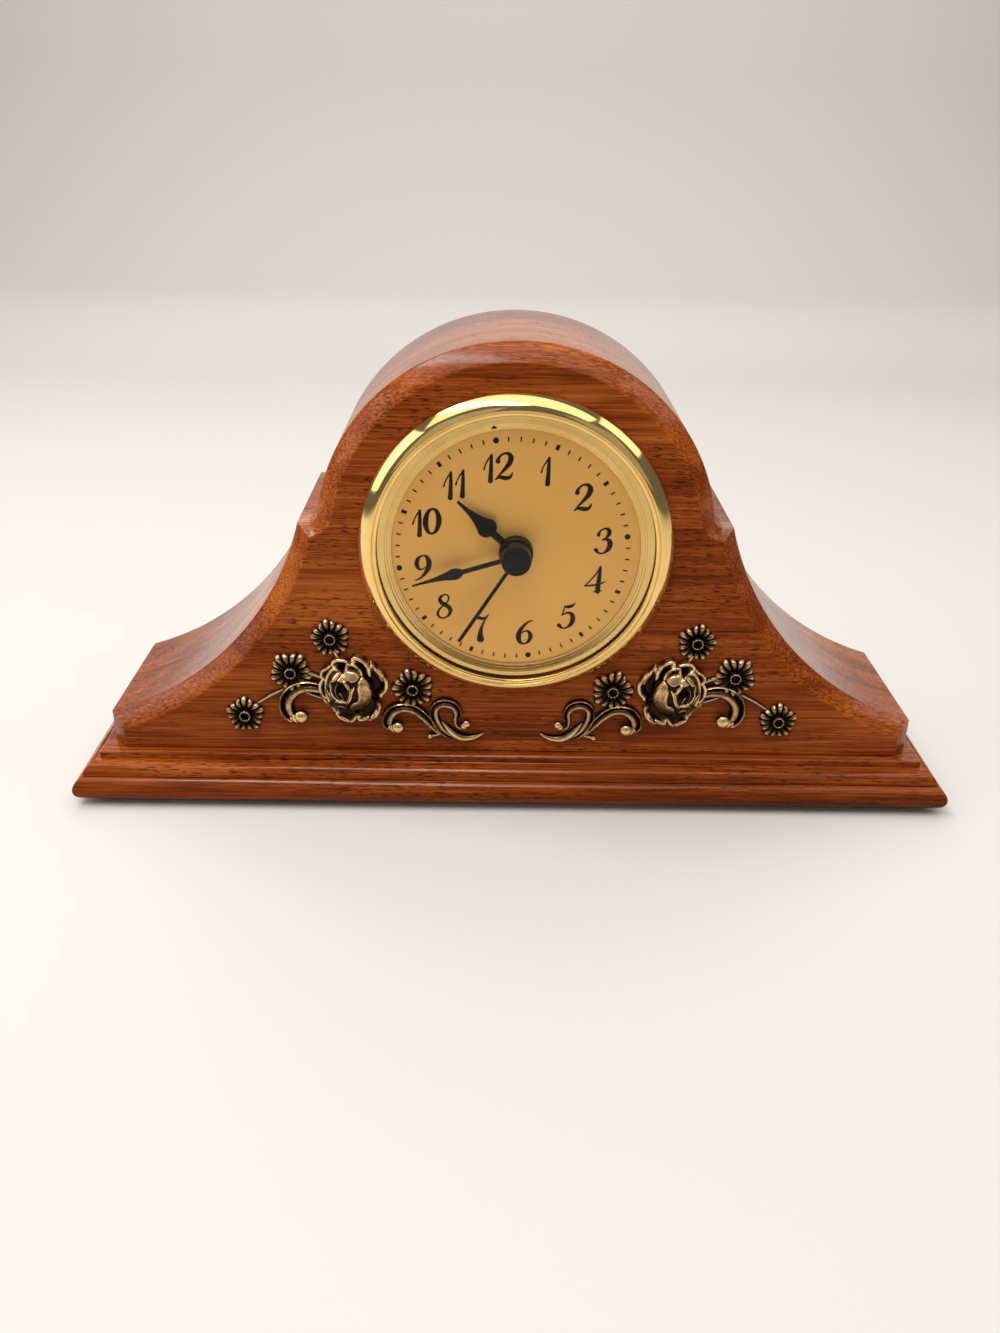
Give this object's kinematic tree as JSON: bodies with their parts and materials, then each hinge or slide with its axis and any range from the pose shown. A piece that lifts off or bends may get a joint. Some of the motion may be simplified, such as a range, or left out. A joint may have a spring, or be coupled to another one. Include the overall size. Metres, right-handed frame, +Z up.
{
  "type": "mantel clock",
  "caption": "Dome-topped wooden mantel clock on a moulded plinth, with a push-in quartz insert, turning hands and stamped rose sprays.",
  "frame": {"origin": "on the surface that the clock stands on, under the middle of its bounding box", "axes": "+X to the right seen from the front, +Y from the dial towards the back, +Z up"},
  "size_m": [0.2694, 0.0796, 0.1399],
  "materials": {
    "mahogany": "satin varnish",
    "antique_brass": "antiqued, rubbed bright on the high points",
    "polished_brass": "polished",
    "gold_ring": "satin",
    "gold_dial": "fine satin with printed numbers",
    "lens_clear": "clear",
    "black_metal": "black lacquer",
    "black_plastic": "moulded",
    "foot_rubber": "matt",
    "nylon": "moulded",
    "steel": "plain",
    "magnet": "sintered",
    "copper_winding": "enamelled wire",
    "board_green": "solder mask"
  },
  "bodies": {
    "case": {"case_body": "mahogany", "plinth": "mahogany", "base_screw_left": "steel", "base_screw_right": "steel", "foot_front_left": "foot_rubber", "foot_front_right": "foot_rubber", "foot_rear_left": "foot_rubber", "foot_rear_right": "foot_rubber", "rose_spray_left": "antique_brass", "rose_spray_right": "antique_brass"},
    "grip": {"grip_ring": "foot_rubber"},
    "insert": {"insert_sleeve": "black_plastic", "bezel": "polished_brass", "lens": "lens_clear", "dial_ring": "gold_ring", "dial": "gold_dial", "fixing_nut": "black_metal", "movement_case": "black_plastic", "movement_cover": "black_plastic", "cover_screw_1": "steel", "cover_screw_2": "steel", "cover_screw_3": "steel", "stator": "steel", "coil": "copper_winding", "circuit_board": "board_green", "crystal": "steel", "chip_cover": "black_plastic", "contact_negative": "steel", "contact_positive": "steel"},
    "second": {"second_hand": "black_metal", "second_wheel": "nylon"},
    "third": {"third_wheel": "nylon"},
    "centre": {"centre_wheel": "nylon"},
    "intermediate": {"intermediate_wheel": "nylon"},
    "stepper": {"rotor": "nylon", "rotor_magnet": "magnet"},
    "minute": {"minute_hand": "black_metal", "cannon_arbor": "nylon", "clutch_spring": "steel"},
    "hour": {"hour_hand": "black_metal", "hour_wheel": "nylon"},
    "setting": {"minute_wheel": "nylon", "setting_knob": "black_plastic"},
    "cell": {"button_cell": "steel"}
  },
  "joints": [
    {"name": "insert_pull", "type": "slide", "parent": "case", "child": "grip", "axis": [0, -1, 0], "range_m": [0, 0.03]},
    {"name": "insert_turn", "type": "hinge", "parent": "grip", "child": "insert", "pos_m": [0, -0.02438, 0.08245], "axis": [0, 1, 0], "continuous": true},
    {"name": "second_turn", "type": "hinge", "parent": "insert", "child": "second", "pos_m": [0, -0.02438, 0.08245], "axis": [0, 1, 0], "continuous": true},
    {"name": "third_turn", "type": "hinge", "parent": "insert", "child": "third", "pos_m": [-0.00884, -0.02438, 0.08415], "axis": [0, 1, 0], "continuous": true},
    {"name": "centre_turn", "type": "hinge", "parent": "insert", "child": "centre", "pos_m": [0, -0.02438, 0.08245], "axis": [0, 1, 0], "continuous": true},
    {"name": "intermediate_turn", "type": "hinge", "parent": "insert", "child": "intermediate", "pos_m": [-0.00142, -0.02438, 0.09134], "axis": [0, 1, 0], "continuous": true},
    {"name": "stepper_turn", "type": "hinge", "parent": "insert", "child": "stepper", "pos_m": [0.00128, -0.02438, 0.0984], "axis": [0, 1, 0], "continuous": true},
    {"name": "minute_turn", "type": "hinge", "parent": "insert", "child": "minute", "pos_m": [0, -0.02438, 0.08245], "axis": [0, 1, 0], "continuous": true},
    {"name": "hour_turn", "type": "hinge", "parent": "insert", "child": "hour", "pos_m": [0, -0.02438, 0.08245], "axis": [0, 1, 0], "continuous": true},
    {"name": "setting_turn", "type": "hinge", "parent": "insert", "child": "setting", "pos_m": [0.00787, -0.02438, 0.08682], "axis": [0, 1, 0], "continuous": true},
    {"name": "cell_out", "type": "slide", "parent": "insert", "child": "cell", "axis": [0, 1, 0], "range_m": [0, 0.012]}
  ],
  "couplings": [
    {"joint": "third_turn", "follows": "second_turn", "ratio": -0.13333},
    {"joint": "centre_turn", "follows": "second_turn", "ratio": 0.016667},
    {"joint": "intermediate_turn", "follows": "second_turn", "ratio": -5},
    {"joint": "stepper_turn", "follows": "second_turn", "ratio": 30},
    {"joint": "hour_turn", "follows": "minute_turn", "ratio": 0.083333},
    {"joint": "setting_turn", "follows": "minute_turn", "ratio": -0.33333}
  ]
}
